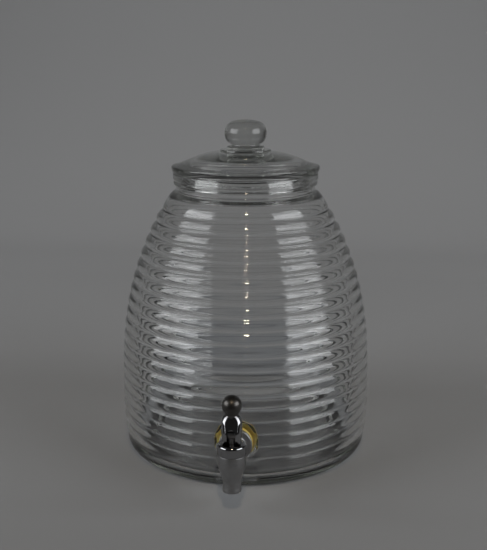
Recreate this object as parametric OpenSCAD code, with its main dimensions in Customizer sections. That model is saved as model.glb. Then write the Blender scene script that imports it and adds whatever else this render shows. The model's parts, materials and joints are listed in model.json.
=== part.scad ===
// Ribbed glass dispenser jar with a lift-off glass lid and a lever tap.
// The jar stands on its foot ring at z = 0, its axis is Z, and the tap faces -Y.
// All lengths are in millimetres.

/* [Jar] */
// Widest outer diameter, across the rib crests
belly_d = 240; // [220:1:270]
// Height of the widest place above the foot
belly_z = 60; // [52:1:75]
// How much the crests draw in from the belly down to the foot, across the diameter
heel_drop = 7; // [4:0.5:14]
// How far the flat foot ring lies inside the belly, across the diameter
foot_inset = 31; // [22:0.5:40]
// Width of the flat foot ring
foot_w = 9; // [5:0.5:14]
// Height of the rounded heel
heel_h = 13; // [9:0.5:15]
// Depth of the hollow under the foot
push_up = 3; // [1:0.5:4]
// Thickness of the glass floor above the hollow
floor_t = 7; // [5:0.5:9]
// Crest diameter that the wall reaches at the shoulder, over the neck diameter
shoulder_step = 9; // [7:0.5:16]
// How late the wall leans in: a higher power keeps the belly full
lean = 2.5; // [2:0.02:2.8]
// Height of the jar to the top of its rim
jar_h = 266.6; // [250:0.2:290]
// Height of the neck and rim above the shoulder
neck_h = 16.6; // [13:0.2:20]
// Outer diameter of the neck
neck_d = 132; // [120:1:140]
// Glass thickness of the neck
neck_t = 4.7; // [4:0.1:6]
// How far the rim bead stands out of the neck
rim_proud = 2.2; // [1.5:0.1:3]
// Height of the rim bead
rim_h = 9; // [6:0.5:10]
// Glass thickness behind a rib valley
wall = 4.4; // [3.6:0.1:5]

/* [Ribs] */
// Full ribs between the heel and the shoulder
rib_count = 19; // [15:1:24]
// Height of the lowest valley
rib_base_z = 17.4; // [16:0.2:20]
// Depth of the rounded shoulder above the highest valley
shoulder_h = 16.6; // [13:0.2:19]
// How far a crest stands out of its valleys
rib_depth = 1.6; // [1:0.1:2.2]

/* [Tap seat in the glass] */
// Height of the tap's shank above the foot
tap_z = 46; // [44:0.5:54]
// Width of the flat panel that runs from the tap down to the heel
panel_w = 37; // [36:0.5:40]

/* [Lid] */
// How far the lid's edge stands out over the rim bead
lid_lip = 1.5; // [0.5:0.1:4]
// Height of the lid's edge
lid_edge_h = 7.4; // [5:0.1:8]
// Height of the dome from the lid's edge to the step under the knob
dome_h = 12.6; // [10:0.2:16]
// Depth of the locating ring in the neck
plug_h = 9; // [6:0.5:10]
// Thickness of the locating ring
plug_t = 4.8; // [4:0.1:7]
// Gap between the locating ring and the neck, on each side
plug_gap = 1; // [0.6:0.1:1.6]
// Glass thickness of the dome
dome_t = 6.4; // [5:0.1:8]
// Diameter of the step under the knob
step_d = 48; // [44:1:56]
// Height of the step
step_h = 2; // [1.6:0.1:3]
// Diameter of the bead round the foot of the knob
bead_d = 35.6; // [32:0.2:40]
// Height of that bead
bead_h = 3.4; // [2.6:0.1:4]
// Diameter of the knob's short stem
knob_stem_d = 26; // [22:0.5:28]
// Length of the stem between the bead and the knob
knob_stem_h = 1; // [0.6:0.1:3]
// Diameter of the knob
knob_d = 39.4; // [36:0.2:46]
// Height that the whole ball of the knob would have
knob_h = 25.6; // [20:0.2:34]

/* [Tap body] */
// Distance from the seat on the glass to the axis of the barrel
reach = 43; // [38:0.5:50]
// Outer diameter of the barrel
barrel_d = 23.4; // [22.8:0.1:25]
// Distance from the shank's axis down to the outlet
outlet_drop = 24.5; // [22:0.5:27]
// Outer diameter of the outlet lip
outlet_d = 16; // [15.8:0.1:18]
// Bore of the outlet
outlet_bore_d = 11.6; // [10:0.1:12]
// Outer diameter of the spout above its lip
spout_d = 15.4; // [14.8:0.1:15.8]
// Distance from the shank's axis down to the valve seat
seat_drop = 5; // [5:0.1:5.6]
// Bore of the valve chamber
chamber_d = 17.2; // [16.8:0.1:17.6]
// Distance from the shank's axis up to the shoulder under the cap
cap_rise = 8.5; // [8.3:0.1:10]
// Length of the threaded neck above the shoulder
tap_neck_h = 6; // [5.5:0.1:8]
// Outer diameter of the threaded neck
tap_neck_d = 20.8; // [20.4:0.1:21]
// Outer diameter of the shank's thread
shank_d = 15.8; // [15:0.1:17]
// Bore of the shank
shank_bore_d = 9.6; // [8:0.1:10]
// Depth of the thread
thread_depth = 0.7; // [0.4:0.1:1]
// Pitch of the thread
thread_pitch = 1.8; // [1.4:0.1:2.5]
// Length of thread past the nut
thread_end = 4; // [2:0.5:8]
// Diameter of the flange that covers the hole
flange_d = 29; // [24:0.5:31]
// Thickness of the flange
flange_t = 3.5; // [2.5:0.1:5]
// Diameter of the arm between the flange and the barrel
arm_d = 15.6; // [14:0.1:16]

/* [Seals and nut] */
// Diameter of the washer outside the glass
outer_washer_d = 32; // [31:0.5:35]
// Thickness of the washer outside the glass
outer_washer_t = 4.4; // [2:0.1:5]
// Diameter of the washer inside the jar
inner_washer_d = 34; // [30:0.5:36]
// Thickness of the washer inside the jar
inner_washer_t = 3; // [2:0.1:4]
// Width of the nut across its flats
nut_af = 25; // [22:0.5:27]
// Thickness of the nut
nut_t = 8; // [6:0.5:10]
// Thickness of the gasket under the cap
gasket_t = 1; // [0.6:0.1:1.5]

/* [Valve] */
// How far the cap stands out of the barrel, across the diameter
cap_over = 0.8; // [0.4:0.1:2]
// Thickness of the cap's top
cap_t = 2.5; // [2.2:0.1:4]
// Wall of the guide sleeve inside the cap
sleeve_t = 1.3; // [1:0.1:1.5]
// Diameter of the valve stem
valve_stem_d = 5.2; // [4.8:0.1:5.4]
// Thickness of the stem's spring collar
collar_t = 2; // [1.5:0.1:2.5]
// Length of the closed spring
spring_h = 9; // [8.6:0.1:9.4]
// Wire diameter of the spring
wire_d = 0.8; // [0.6:0.05:0.9]
// Turns of the spring
spring_turns = 5; // [4:1:6]
// Thickness of the valve plug's disc
plug_disc_t = 3.2; // [2.8:0.1:3.6]
// Section of the ring seal on the stem
o_ring_t = 1.15; // [0.9:0.05:1.2]

/* [Lever] */
// Width of the lever's fork
lever_w = 17.2; // [15.6:0.1:19]
// Height of the hinge pin above the cap
pin_h = 6.5; // [6.2:0.1:8]
// How far the lever lifts the valve
valve_lift = 3.2; // [2.4:0.1:3.4]
// Depth of the fork behind its pin
fork_back = 7.5; // [7:0.1:9]
// Diameter of the hinge pin
pin_d = 3; // [2.4:0.1:3.4]
// Width of the stem's eye, between the fork's legs
eye_w = 6.4; // [5.6:0.1:7]
// Diameter of the stem's eye
eye_d = 7.2; // [6.8:0.1:7.6]
// Height of the fork's shoulders above the pin
fork_h = 18.5; // [17:0.5:20]
// Diameter of the lever's neck
lever_neck_d = 11.4; // [10:0.1:12.4]
// Diameter of the lever's ball
ball_d = 16.6; // [15.4:0.1:19]
// Length of the neck between the fork and the ball
lever_neck_h = 1.7; // [1:0.1:5]

/* [Hidden] */
$fn = 96;

// Clearances between pieces that fit each other
hole_gap = 0.3;
washer_gap = 0.2;
thread_gap = 0.1;
slide_gap = 0.1;
ring_gap = 0.05;
pin_gap = 0.05;
snug_gap = 0.02;
cheek_gap = 0.3;
eye_gap = 0.5;
cam_gap = 0.1;
spring_gap = 0.4;
sleeve_gap = 0.6;

// How finely the curved outlines are drawn
rib_steps = 4;
curve_steps = 6;
inner_steps = 12;
knob_steps = 16;
cam_steps = 12;
wire_sides = 6;
turn_rings = 16;

// Points on an arc round c, from angle a0 to a1
function arc(c, r, a0, a1, n) = [
    for (i = [0 : n]) let (a = a0 + (a1 - a0) * i / n) c + r * [cos(a), sin(a)]
];

// Points on a curve that leaves p0 towards p1 and reaches p3 from p2
function curve(p0, p1, p2, p3, n) = [
    for (i = [0 : n]) let (t = i / n, u = 1 - t)
        u * u * u * p0 + 3 * u * u * t * p1 + 3 * u * t * t * p2 + t * t * t * p3
];

// The same points without the last one
function open_end(list) = [for (i = [0 : len(list) - 2]) list[i]];

// Jar sizes that follow from the ones above
belly_r = belly_d / 2;
heel_r = belly_r - heel_drop / 2;
foot_r = belly_r - foot_inset / 2;
neck_r = neck_d / 2;
mouth_r = neck_r - neck_t;
rim_r = neck_r + rim_proud;
shoulder_r = neck_r + shoulder_step / 2;
shoulder_z = jar_h - neck_h;
rib_top_z = shoulder_z - shoulder_h;
rib_pitch = (rib_top_z - rib_base_z) / rib_count;
inner_floor_z = push_up + floor_t;
inner_corner_z = rib_base_z + rib_pitch;
rim_round = 1.4;
mouth_chamfer = 1.2;

// Radius of the rib crests at a height
function crest_r(z) = z >= belly_z
    ? belly_r - (belly_r - shoulder_r) * pow((z - belly_z) / (shoulder_z - belly_z), lean)
    : belly_r - (belly_r - heel_r) * pow((belly_z - z) / belly_z, 2);

// Radius of the rib valleys, outside and inside the glass
function valley_r(z) = crest_r(z) - rib_depth;
function inner_valley_r(z) = valley_r(z) - wall;

// Ribs as shallow bulges between one valley and the next
function ribs() = [
    for (j = [0 : rib_count - 1], s = [0 : rib_steps - 1])
        let (t = s / rib_steps, z = rib_base_z + (j + t) * rib_pitch)
            [valley_r(z) + rib_depth * 4 * t * (1 - t), z]
];

// The smooth wall inside, from above the floor's corner up to the highest valley
function inner_wall() = [
    for (i = [0 : inner_steps - 1])
        let (z = inner_corner_z + (rib_top_z - inner_corner_z) * i / inner_steps)
            [inner_valley_r(z), z]
];

// The rounded heel, drawn larger by a margin
heel_proud = 0.4;
function heel(margin) = [
    for (i = [0 : curve_steps]) let (a = 90 * i / curve_steps)
        [foot_r + margin + (valley_r(rib_base_z) + heel_proud - foot_r) * sin(a), heel_h * (1 - cos(a))]
];

// The shoulder, from the highest valley over to a neck of radius r
shoulder_pull = 0.3;
function shoulder(r, start, top) = curve(
    start,
    start + [0, (top - start[1]) * shoulder_pull],
    [r + (start[0] - r) * shoulder_pull, top],
    [r, top],
    curve_steps
);

module jar_outside() {
    top_valley = [valley_r(rib_top_z), rib_top_z];
    bead_z = jar_h - rim_h;
    bead_soft = 0.3;
    hollow_slope = 3;
    rotate_extrude() polygon(concat(
        [[0, push_up], [foot_r - foot_w - hollow_slope * push_up, push_up], [foot_r - foot_w, 0]],
        heel(0),
        ribs(),
        shoulder(neck_r, top_valley, shoulder_z),
        [[neck_r, bead_z - rim_proud], [rim_r - bead_soft, bead_z + 2 * bead_soft]],
        [[rim_r, bead_z + 6 * bead_soft]],
        arc([rim_r - rim_round, jar_h - rim_round], rim_round, 0, 90, 4),
        [[0, jar_h]]
    ));
}

module jar_inside() {
    top_valley = [inner_valley_r(rib_top_z), rib_top_z];
    corner = [inner_valley_r(inner_corner_z), inner_corner_z];
    floor_r = foot_r - foot_w;
    corner_pull = 9;
    over = 0.5;
    rotate_extrude() polygon(concat(
        [[0, inner_floor_z]],
        open_end(curve([floor_r, inner_floor_z], [floor_r + corner_pull, inner_floor_z],
                       corner - [0, corner_pull], corner, curve_steps)),
        inner_wall(),
        shoulder(mouth_r, top_valley, shoulder_z - wall),
        [[mouth_r, jar_h - mouth_chamfer], [mouth_r + mouth_chamfer + over, jar_h + over], [0, jar_h + over]]
    ));
}

// The tap seat: a flat panel as wide as the chord that it cuts from the belly
seat_y = -sqrt(pow(belly_r, 2) - pow(panel_w / 2, 2));
inner_seat_r = inner_washer_d / 2 + 1;
inner_seat_wall = min(inner_valley_r(tap_z - inner_seat_r), inner_valley_r(tap_z + inner_seat_r));
inner_seat_y = 0.2 - sqrt(pow(inner_seat_wall, 2) - pow(inner_seat_r, 2));
tap_hole_d = shank_d + 2 * hole_gap;

// A round bar along Y, from y0 to y1, at the height of the tap's shank
module bar_y(y0, y1, d) {
    translate([0, y0, tap_z]) rotate([-90, 0, 0]) cylinder(d = d, h = y1 - y0);
}

// The panel's outline with its round top, as a prism from y0 to y1
module panel_prism(y0, y1, w) {
    bar_y(y0, y1, w);
    translate([-w / 2, y0, 0]) cube([w, y1 - y0, tap_z]);
}

// Glass that fills the ribs behind the panel, kept within the heel's round
module panel_fill() {
    margin = 0.8;
    depth = 10;
    low_z = heel_h * 0.12;
    high_z = belly_z + panel_w;
    far_r = belly_r + 2;
    intersection() {
        panel_prism(seat_y, seat_y + depth, panel_w);
        rotate_extrude() polygon(concat(
            [[foot_r - foot_w, low_z]],
            [for (p = heel(margin)) if (p[1] > low_z) p],
            [[far_r, rib_base_z], [far_r, high_z], [foot_r - foot_w, high_z]]
        ));
    }
}

module glass_jar() {
    inside_overlap = 4;
    color([0.82, 0.86, 0.85, 0.4]) difference() {
        union() {
            difference() {
                union() {
                    jar_outside();
                    panel_fill();
                }
                jar_inside();
            }
            bar_y(seat_y + inside_overlap, inner_seat_y, 2 * inner_seat_r);
        }
        panel_prism(seat_y - 10, seat_y, panel_w);
        bar_y(seat_y - 1, inner_seat_y + 1, tap_hole_d);
    }
}

// The knob: a ball pressed a little flat, standing on a short stem
knob_power = 2.2;
function knob_r(z) = knob_d / 2 * pow(1 - pow(min(1, abs(z) / (knob_h / 2)), knob_power), 1 / knob_power);

module glass_lid() {
    edge_r = rim_r + lid_lip;
    plug_r = mouth_r - plug_gap;
    hollow_r = plug_r - plug_t;
    top_z = lid_edge_h + dome_h;
    step_z = top_z + step_h;
    stem_r = knob_stem_d / 2;
    sink = knob_h / 2 * pow(1 - pow(stem_r / (knob_d / 2), knob_power), 1 / knob_power);
    knob_z = step_z + bead_h + knob_stem_h + sink;
    under_z = top_z - dome_t;
    hollow_edge_z = lid_edge_h * 0.35;
    sink_angle = acos(sink / (knob_h / 2));
    chamfer = 1;
    bead_r = bead_h / 2;
    color([0.82, 0.86, 0.85, 0.4]) translate([0, 0, jar_h]) rotate_extrude() polygon(concat(
        curve([0, under_z], [hollow_r * 0.45, under_z], [hollow_r * 0.85, under_z * 0.85],
              [hollow_r, hollow_edge_z], curve_steps),
        [[hollow_r, chamfer - plug_h], [hollow_r + chamfer, -plug_h]],
        [[plug_r - chamfer, -plug_h], [plug_r, chamfer - plug_h], [plug_r, 0]],
        arc([edge_r - 1.2, 1.2], 1.2, -90, 0, 4),
        arc([edge_r - 2, lid_edge_h - 2], 2, 0, 80, 4),
        curve([edge_r - 2.4, lid_edge_h + 0.1], [edge_r * 0.78, lid_edge_h + dome_h * 0.3],
              [edge_r * 0.65, lid_edge_h + dome_h * 0.85], [step_d / 2 - 0.4, top_z], curve_steps),
        arc([step_d / 2 - step_h / 2, top_z + step_h / 2], step_h / 2, -30, 90, 4),
        arc([bead_d / 2 - bead_r, step_z + bead_r], bead_r, -90, 90, 6),
        [[stem_r, step_z + bead_h]],
        [for (i = [0 : knob_steps]) let (a = sink_angle + (180 - sink_angle) * i / knob_steps)
            let (z = -knob_h / 2 * cos(a)) [i == knob_steps ? 0 : knob_r(z), knob_z + z]]
    ));
}

// Places of the tap's parts along Y and Z
tap_y = seat_y - reach;
flange_back_y = seat_y - outer_washer_t;
nut_y = inner_seat_y + inner_washer_t;
shank_end_y = nut_y + nut_t + thread_end;
outlet_z = tap_z - outlet_drop;
valve_seat_z = tap_z - seat_drop;
cap_land_z = tap_z + cap_rise;
tap_neck_z = cap_land_z + tap_neck_h;
cap_under_z = tap_neck_z + gasket_t;
cap_top_z = cap_under_z + cap_t;
pin_z = cap_top_z + cam_gap + pin_h;
washer_bore_d = shank_d + 2 * washer_gap;

// Zigzag outline of thread rings, from s0 to s1 along the axis
function thread_rings(d, s0, s1) = let (n = floor((s1 - s0) / thread_pitch), p = (s1 - s0) / n) [
    for (i = [0 : n - 1], q = [0 : 3])
        [d / 2 - (q == 0 || q == 3 ? thread_depth : 0), s0 + p * (i + 0.1 + 0.25 * q)]
];

module tap_shank() {
    thread_s = seat_y - tap_y;
    flange_s = flange_back_y - flange_t - tap_y;
    washer_s = flange_back_y - tap_y;
    end_s = shank_end_y - tap_y;
    edge = 1;
    translate([0, tap_y, tap_z]) rotate([-90, 0, 0]) rotate_extrude() polygon(concat(
        [[0, 0], [arm_d / 2, 0], [arm_d / 2, flange_s - 3]],
        curve([arm_d / 2, flange_s - 3], [arm_d / 2, flange_s - 1], [arm_d / 2 + 1, flange_s],
              [arm_d / 2 + 3, flange_s], 4),
        arc([flange_d / 2 - edge, flange_s + edge], edge, -90, 0, 4),
        [[flange_d / 2, washer_s], [shank_d / 2, washer_s], [shank_d / 2, thread_s]],
        thread_rings(shank_d, thread_s, end_s),
        [[shank_d / 2 - thread_depth, end_s], [0, end_s]]
    ));
}

module tap_barrel() {
    lip = 0.6;
    taper_top_z = tap_z + 1;
    taper_foot_z = valve_seat_z - 11;
    translate([0, tap_y, 0]) rotate_extrude() polygon(concat(
        [[0, outlet_z], [outlet_d / 2 - lip, outlet_z], [outlet_d / 2, outlet_z + lip]],
        [[outlet_d / 2, outlet_z + 2], [spout_d / 2, outlet_z + 4.5]],
        curve([spout_d / 2, taper_foot_z], [spout_d / 2, taper_foot_z + 5],
              [barrel_d / 2, taper_top_z - 7], [barrel_d / 2, taper_top_z], curve_steps),
        [[barrel_d / 2, cap_land_z], [tap_neck_d / 2 - thread_depth, cap_land_z]],
        thread_rings(tap_neck_d, cap_land_z + 0.6, tap_neck_z - 0.4),
        [[tap_neck_d / 2 - thread_depth, tap_neck_z], [0, tap_neck_z]]
    ));
}

module tap_body() {
    seat_chamfer = 1;
    color([0.62, 0.62, 0.63]) difference() {
        union() {
            tap_barrel();
            tap_shank();
        }
        translate([0, tap_y, outlet_z - 1]) cylinder(d = outlet_bore_d, h = valve_seat_z - outlet_z + 2);
        translate([0, tap_y, valve_seat_z - seat_chamfer])
            cylinder(d1 = outlet_bore_d, d2 = outlet_bore_d + 2 * seat_chamfer, h = seat_chamfer);
        translate([0, tap_y, valve_seat_z]) cylinder(d = chamber_d, h = tap_neck_z - valve_seat_z + 1);
        bar_y(tap_y, shank_end_y + 1, shank_bore_d);
    }
}

// A flat ring along Y, from y0 to y1
module ring_y(y0, y1, d, bore) {
    difference() {
        bar_y(y0, y1, d);
        bar_y(y0 - 1, y1 + 1, bore);
    }
}

module outer_washer() {
    color([0.8, 0.72, 0.3, 0.8]) ring_y(flange_back_y, seat_y, outer_washer_d, washer_bore_d);
}

module inner_washer() {
    color([0.8, 0.72, 0.3, 0.8]) ring_y(inner_seat_y, nut_y, inner_washer_d, washer_bore_d);
}

module lock_nut() {
    corner_d = nut_af / cos(30);
    chamfer = 1;
    color([0.88, 0.88, 0.86]) translate([0, nut_y, tap_z]) rotate([-90, 0, 0]) difference() {
        intersection() {
            cylinder(d = corner_d, h = nut_t, $fn = 6);
            rotate_extrude() polygon([
                [0, 0], [corner_d / 2 + 1, 0], [corner_d / 2 + 1, nut_t - 2 * chamfer],
                [nut_af / 2 - 0.2, nut_t], [0, nut_t]
            ]);
        }
        translate([0, 0, -1]) cylinder(d = shank_d + 2 * thread_gap, h = nut_t + 2);
    }
}

// Sizes inside the valve that follow from the ones above
stem_bore_r = valve_stem_d / 2 + slide_gap;
sleeve_r = stem_bore_r + sleeve_t;
spring_r = sleeve_r + spring_gap + wire_d / 2;
collar_r = spring_r + wire_d / 2 + 0.4;
collar_top_z = cap_under_z - spring_h;
collar_z = collar_top_z - collar_t;
sleeve_z = collar_top_z + valve_lift + sleeve_gap;
o_ring_z = sleeve_z + o_ring_t;
stem_foot_z = valve_seat_z + 1.4;
plug_top_z = collar_z - 0.5;
cap_r = (barrel_d + cap_over) / 2;

module tap_cap() {
    round_r = 2.4;
    color([0.8, 0.8, 0.82]) translate([0, tap_y, 0]) rotate_extrude() polygon(concat(
        [[tap_neck_d / 2 + thread_gap, cap_land_z], [cap_r, cap_land_z]],
        arc([cap_r - round_r, cap_top_z - round_r], round_r, 0, 90, 5),
        [[stem_bore_r, cap_top_z], [stem_bore_r, sleeve_z], [sleeve_r, sleeve_z]],
        [[sleeve_r, cap_under_z], [tap_neck_d / 2 + thread_gap, cap_under_z]]
    ));
}

module cap_gasket() {
    color([0.85, 0.84, 0.8]) translate([0, tap_y, tap_neck_z]) difference() {
        cylinder(d = tap_neck_d, h = gasket_t);
        translate([0, 0, -1]) cylinder(d = chamber_d, h = gasket_t + 2);
    }
}

module valve_stem() {
    groove_w = o_ring_t + 0.25;
    groove_r = stem_bore_r - ring_gap - o_ring_t - snug_gap;
    color([0.62, 0.62, 0.63]) difference() {
        union() {
            translate([0, tap_y, 0]) rotate_extrude() polygon([
                [0, stem_foot_z], [valve_stem_d / 2, stem_foot_z], [valve_stem_d / 2, collar_z],
                [collar_r, collar_z], [collar_r, collar_top_z], [valve_stem_d / 2, collar_top_z],
                [valve_stem_d / 2, o_ring_z - groove_w / 2], [groove_r, o_ring_z - groove_w / 2],
                [groove_r, o_ring_z + groove_w / 2], [valve_stem_d / 2, o_ring_z + groove_w / 2],
                [valve_stem_d / 2, pin_z], [0, pin_z]
            ]);
            translate([-eye_w / 2, tap_y, pin_z]) rotate([0, 90, 0]) cylinder(d = eye_d, h = eye_w);
        }
        translate([-eye_w, tap_y, pin_z]) rotate([0, 90, 0]) cylinder(d = pin_d + 2 * pin_gap, h = 2 * eye_w);
    }
}

module stem_o_ring() {
    centre_r = stem_bore_r - ring_gap - o_ring_t / 2;
    color([0.25, 0.25, 0.25]) translate([0, tap_y, o_ring_z])
        rotate_extrude() translate([centre_r, 0]) circle(d = o_ring_t);
}

module valve_plug() {
    disc_r = chamber_d / 2 - 0.9;
    collar = valve_stem_d / 2 + 1.8;
    hole_r = valve_stem_d / 2 + snug_gap;
    edge = 0.8;
    color([0.9, 0.9, 0.86]) translate([0, tap_y, 0]) rotate_extrude() polygon([
        [0, valve_seat_z], [disc_r - edge, valve_seat_z], [disc_r, valve_seat_z + edge],
        [disc_r, valve_seat_z + plug_disc_t - edge], [disc_r - edge, valve_seat_z + plug_disc_t],
        [collar, valve_seat_z + plug_disc_t], [collar, plug_top_z], [hole_r, plug_top_z],
        [hole_r, stem_foot_z], [0, stem_foot_z]
    ]);
}

// The spring's wire as a tube swept along a helix whose end turns lie close
spring_end_pitch = wire_d * 1.2;
spring_rise = spring_h - wire_d - 2 * snug_gap;
spring_mid_pitch = (spring_rise - 2 * spring_end_pitch) / (spring_turns - 2);
function spring_z(t) = t < 1 ? t * spring_end_pitch
    : t > spring_turns - 1 ? spring_rise - (spring_turns - t) * spring_end_pitch
    : spring_end_pitch + (t - 1) * spring_mid_pitch;

module return_spring() {
    rings = spring_turns * turn_rings;
    points = [
        for (i = [0 : rings], s = [0 : wire_sides - 1])
            let (a = 360 * i / turn_rings, b = 360 * s / wire_sides, r = spring_r + wire_d / 2 * cos(b))
                [r * cos(a), r * sin(a), spring_z(i / turn_rings) + wire_d / 2 * sin(b)]
    ];
    sides = [
        for (i = [0 : rings - 1], s = [0 : wire_sides - 1])
            let (n = (s + 1) % wire_sides, p = i * wire_sides, q = p + wire_sides)
                [p + s, q + s, q + n, p + n]
    ];
    first = [[for (s = [0 : wire_sides - 1]) s]];
    last = [[for (s = [0 : wire_sides - 1]) rings * wire_sides + wire_sides - 1 - s]];
    color([0.75, 0.75, 0.76]) translate([0, tap_y, collar_top_z + snug_gap + wire_d / 2])
        polyhedron(points, concat(sides, first, last));
}

// The lever's foot is a cam: its distance below the pin grows evenly with the tilt
cam_rate = valve_lift / 90;
cam_arm = cam_rate * 180 / PI;
fork_front = pin_h + valve_lift;
function cam_point(a) = let (h = pin_h + cam_rate * a)
    [-h * sin(a) - cam_arm * cos(a), cam_arm * sin(a) - h * cos(a)];

module fork_side() {
    neck = lever_neck_d / 2;
    polygon(concat(
        [for (i = [0 : cam_steps]) cam_point(90 * i / cam_steps)],
        curve([-fork_front, fork_h * 0.5], [-fork_front, fork_h * 0.8], [-neck - 1, fork_h * 0.95],
              [-neck + 0.5, fork_h], curve_steps),
        curve([neck - 0.5, fork_h], [neck + 1, fork_h * 0.95], [fork_back, fork_h * 0.8],
              [fork_back, fork_h * 0.5], curve_steps),
        [[fork_back, 1 - pin_h], [fork_back - 1, -pin_h]]
    ));
}

module fork_front_outline() {
    neck = lever_neck_d / 2;
    side = lever_w / 2;
    edge = 0.8;
    right = concat(
        [[side - edge, -pin_h - 1], [side, edge - pin_h]],
        curve([side, fork_h * 0.5], [side, fork_h * 0.8], [neck + 1, fork_h * 0.95],
              [neck - 0.5, fork_h], curve_steps)
    );
    polygon(concat(right, [for (i = [len(right) - 1 : -1 : 0]) [-right[i][0], right[i][1]]]));
}

module tap_lever() {
    slot_w = eye_w + 2 * cheek_gap;
    slot_r = eye_d / 2 + eye_gap;
    far = 40;
    arch_back = 2;
    ball_r = ball_d / 2;
    ball_z = fork_h + lever_neck_h + sqrt(pow(ball_r, 2) - pow(lever_neck_d / 2, 2));
    color([0.8, 0.8, 0.82]) translate([0, tap_y, pin_z]) difference() {
        union() {
            intersection() {
                rotate([90, 0, 90]) linear_extrude(lever_w + 2, center = true) fork_side();
                rotate([90, 0, 0]) linear_extrude(far, center = true) fork_front_outline();
            }
            translate([0, 0, fork_h - 6]) cylinder(d = lever_neck_d, h = ball_z - fork_h + 6);
            translate([0, 0, ball_z]) sphere(d = ball_d);
        }
        translate([-slot_w / 2, 0, 0]) rotate([0, 90, 0]) cylinder(r = slot_r, h = slot_w);
        translate([-slot_w / 2, -far, -far]) cube([slot_w, far, far + slot_r]);
        translate([-slot_w / 2, -0.5, -far]) cube([slot_w, slot_r + 0.5, far]);
        translate([0, -far, slot_r]) rotate([-90, 0, 0]) cylinder(d = slot_w, h = far - arch_back);
        translate([-far / 2, 0, 0]) rotate([0, 90, 0]) cylinder(d = pin_d + 2 * snug_gap, h = far);
    }
}

module lever_pin() {
    inset = 0.2;
    color([0.7, 0.7, 0.72]) translate([inset - lever_w / 2, tap_y, pin_z])
        rotate([0, 90, 0]) cylinder(d = pin_d, h = lever_w - 2 * inset);
}

glass_jar();
glass_lid();
tap_body();
tap_cap();
cap_gasket();
tap_lever();
lever_pin();
valve_stem();
stem_o_ring();
valve_plug();
return_spring();
outer_washer();
inner_washer();
lock_nut();
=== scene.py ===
import bpy
import bmesh
import json
import math
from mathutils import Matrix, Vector


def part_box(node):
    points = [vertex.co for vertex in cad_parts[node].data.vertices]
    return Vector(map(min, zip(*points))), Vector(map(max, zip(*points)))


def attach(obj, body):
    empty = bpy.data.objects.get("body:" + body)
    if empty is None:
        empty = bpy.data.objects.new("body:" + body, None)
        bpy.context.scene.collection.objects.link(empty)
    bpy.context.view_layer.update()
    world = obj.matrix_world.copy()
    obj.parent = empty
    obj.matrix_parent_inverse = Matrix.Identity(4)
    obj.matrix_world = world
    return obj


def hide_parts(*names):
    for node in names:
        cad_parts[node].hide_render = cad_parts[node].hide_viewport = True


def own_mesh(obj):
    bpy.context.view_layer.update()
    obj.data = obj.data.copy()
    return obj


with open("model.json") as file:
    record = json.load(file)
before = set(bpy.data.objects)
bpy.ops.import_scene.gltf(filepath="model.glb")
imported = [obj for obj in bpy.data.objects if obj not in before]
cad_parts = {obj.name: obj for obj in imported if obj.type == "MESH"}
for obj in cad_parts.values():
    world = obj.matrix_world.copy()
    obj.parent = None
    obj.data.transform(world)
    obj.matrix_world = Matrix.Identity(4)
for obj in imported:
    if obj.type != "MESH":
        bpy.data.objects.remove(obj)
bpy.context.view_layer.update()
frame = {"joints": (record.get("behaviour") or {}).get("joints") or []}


# Glass jar: soda-lime glass blown into a ribbed mould, so the ribs show inside almost as deeply
# as outside, with a fire-polished rim and a flat panel whose drilled hole takes the tap.
# Sizes of pieces are in millimetres; shape trees, materials, lamps and the camera use metres.
class Wire:
    """One socket of a material or a shape tree; sums with it add Math nodes."""

    def __init__(self, tree, socket=None):
        self.tree = tree
        self.socket = socket

    def node(self, kind, sockets=(), **settings):
        """Adds a node of that type: first its settings, then the values or links of its sockets."""
        node = self.tree.nodes.new(kind)
        for key, value in settings.items():
            if key == "stops":
                ramp = node.color_ramp
                ramp.interpolation = "B_SPLINE"
                for stop in value[1:-1]:
                    ramp.elements.new(stop[0])
                for element, (place, colour) in zip(ramp.elements, value):
                    element.position = place
                    element.color = (*colour, 1)
            else:
                setattr(node, key, value)
        self.feed(node, sockets)
        return Wire(self.tree, node.outputs[0] if node.outputs else None)

    def feed(self, node, sockets):
        """Sets a node's sockets to values, or links other sockets to them."""
        for key, value in dict(sockets).items():
            if isinstance(value, Wire):
                self.tree.links.new(value.socket, node.inputs[key])
            else:
                node.inputs[key].default_value = value

    def __getitem__(self, name):
        return Wire(self.tree, self.socket.node.outputs[name])

    def maths(self, operation, *values):
        return self.node("ShaderNodeMath", enumerate(values), operation=operation)

    def __add__(self, other):
        return self.maths("ADD", self, other)

    __radd__ = __add__

    def __sub__(self, other):
        return self.maths("SUBTRACT", self, other)

    def __rsub__(self, other):
        return self.maths("SUBTRACT", other, self)

    def __mul__(self, other):
        return self.maths("MULTIPLY", self, other)

    __rmul__ = __mul__

    def __truediv__(self, other):
        return self.maths("DIVIDE", self, other)

    def __rtruediv__(self, other):
        return self.maths("DIVIDE", other, self)

    def __pow__(self, other):
        return self.maths("POWER", self, other)

    def step(self, low, high):
        """0 below low, 1 above high, with an easy slope between."""
        sockets = {"Value": self, "From Min": low, "From Max": high}
        return self.node("ShaderNodeMapRange", sockets, interpolation_type="SMOOTHSTEP")

    def noise(self, scale, detail, roughness=0.5):
        """Cloudy values about 0.5, from coordinates."""
        sockets = {"Vector": self, "Scale": scale, "Detail": detail, "Roughness": roughness}
        return self.node("ShaderNodeTexNoise", sockets)

    def blend(self, one, other):
        """A colour between two, by this value."""
        return self.node("ShaderNodeMix", {0: self, 6: one, 7: other}, data_type="RGBA")[2]

    def bump(self, strength, distance):
        """A normal, from this value as a height."""
        sockets = {"Height": self, "Strength": strength, "Distance": distance}
        return self.node("ShaderNodeBump", sockets)


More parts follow.
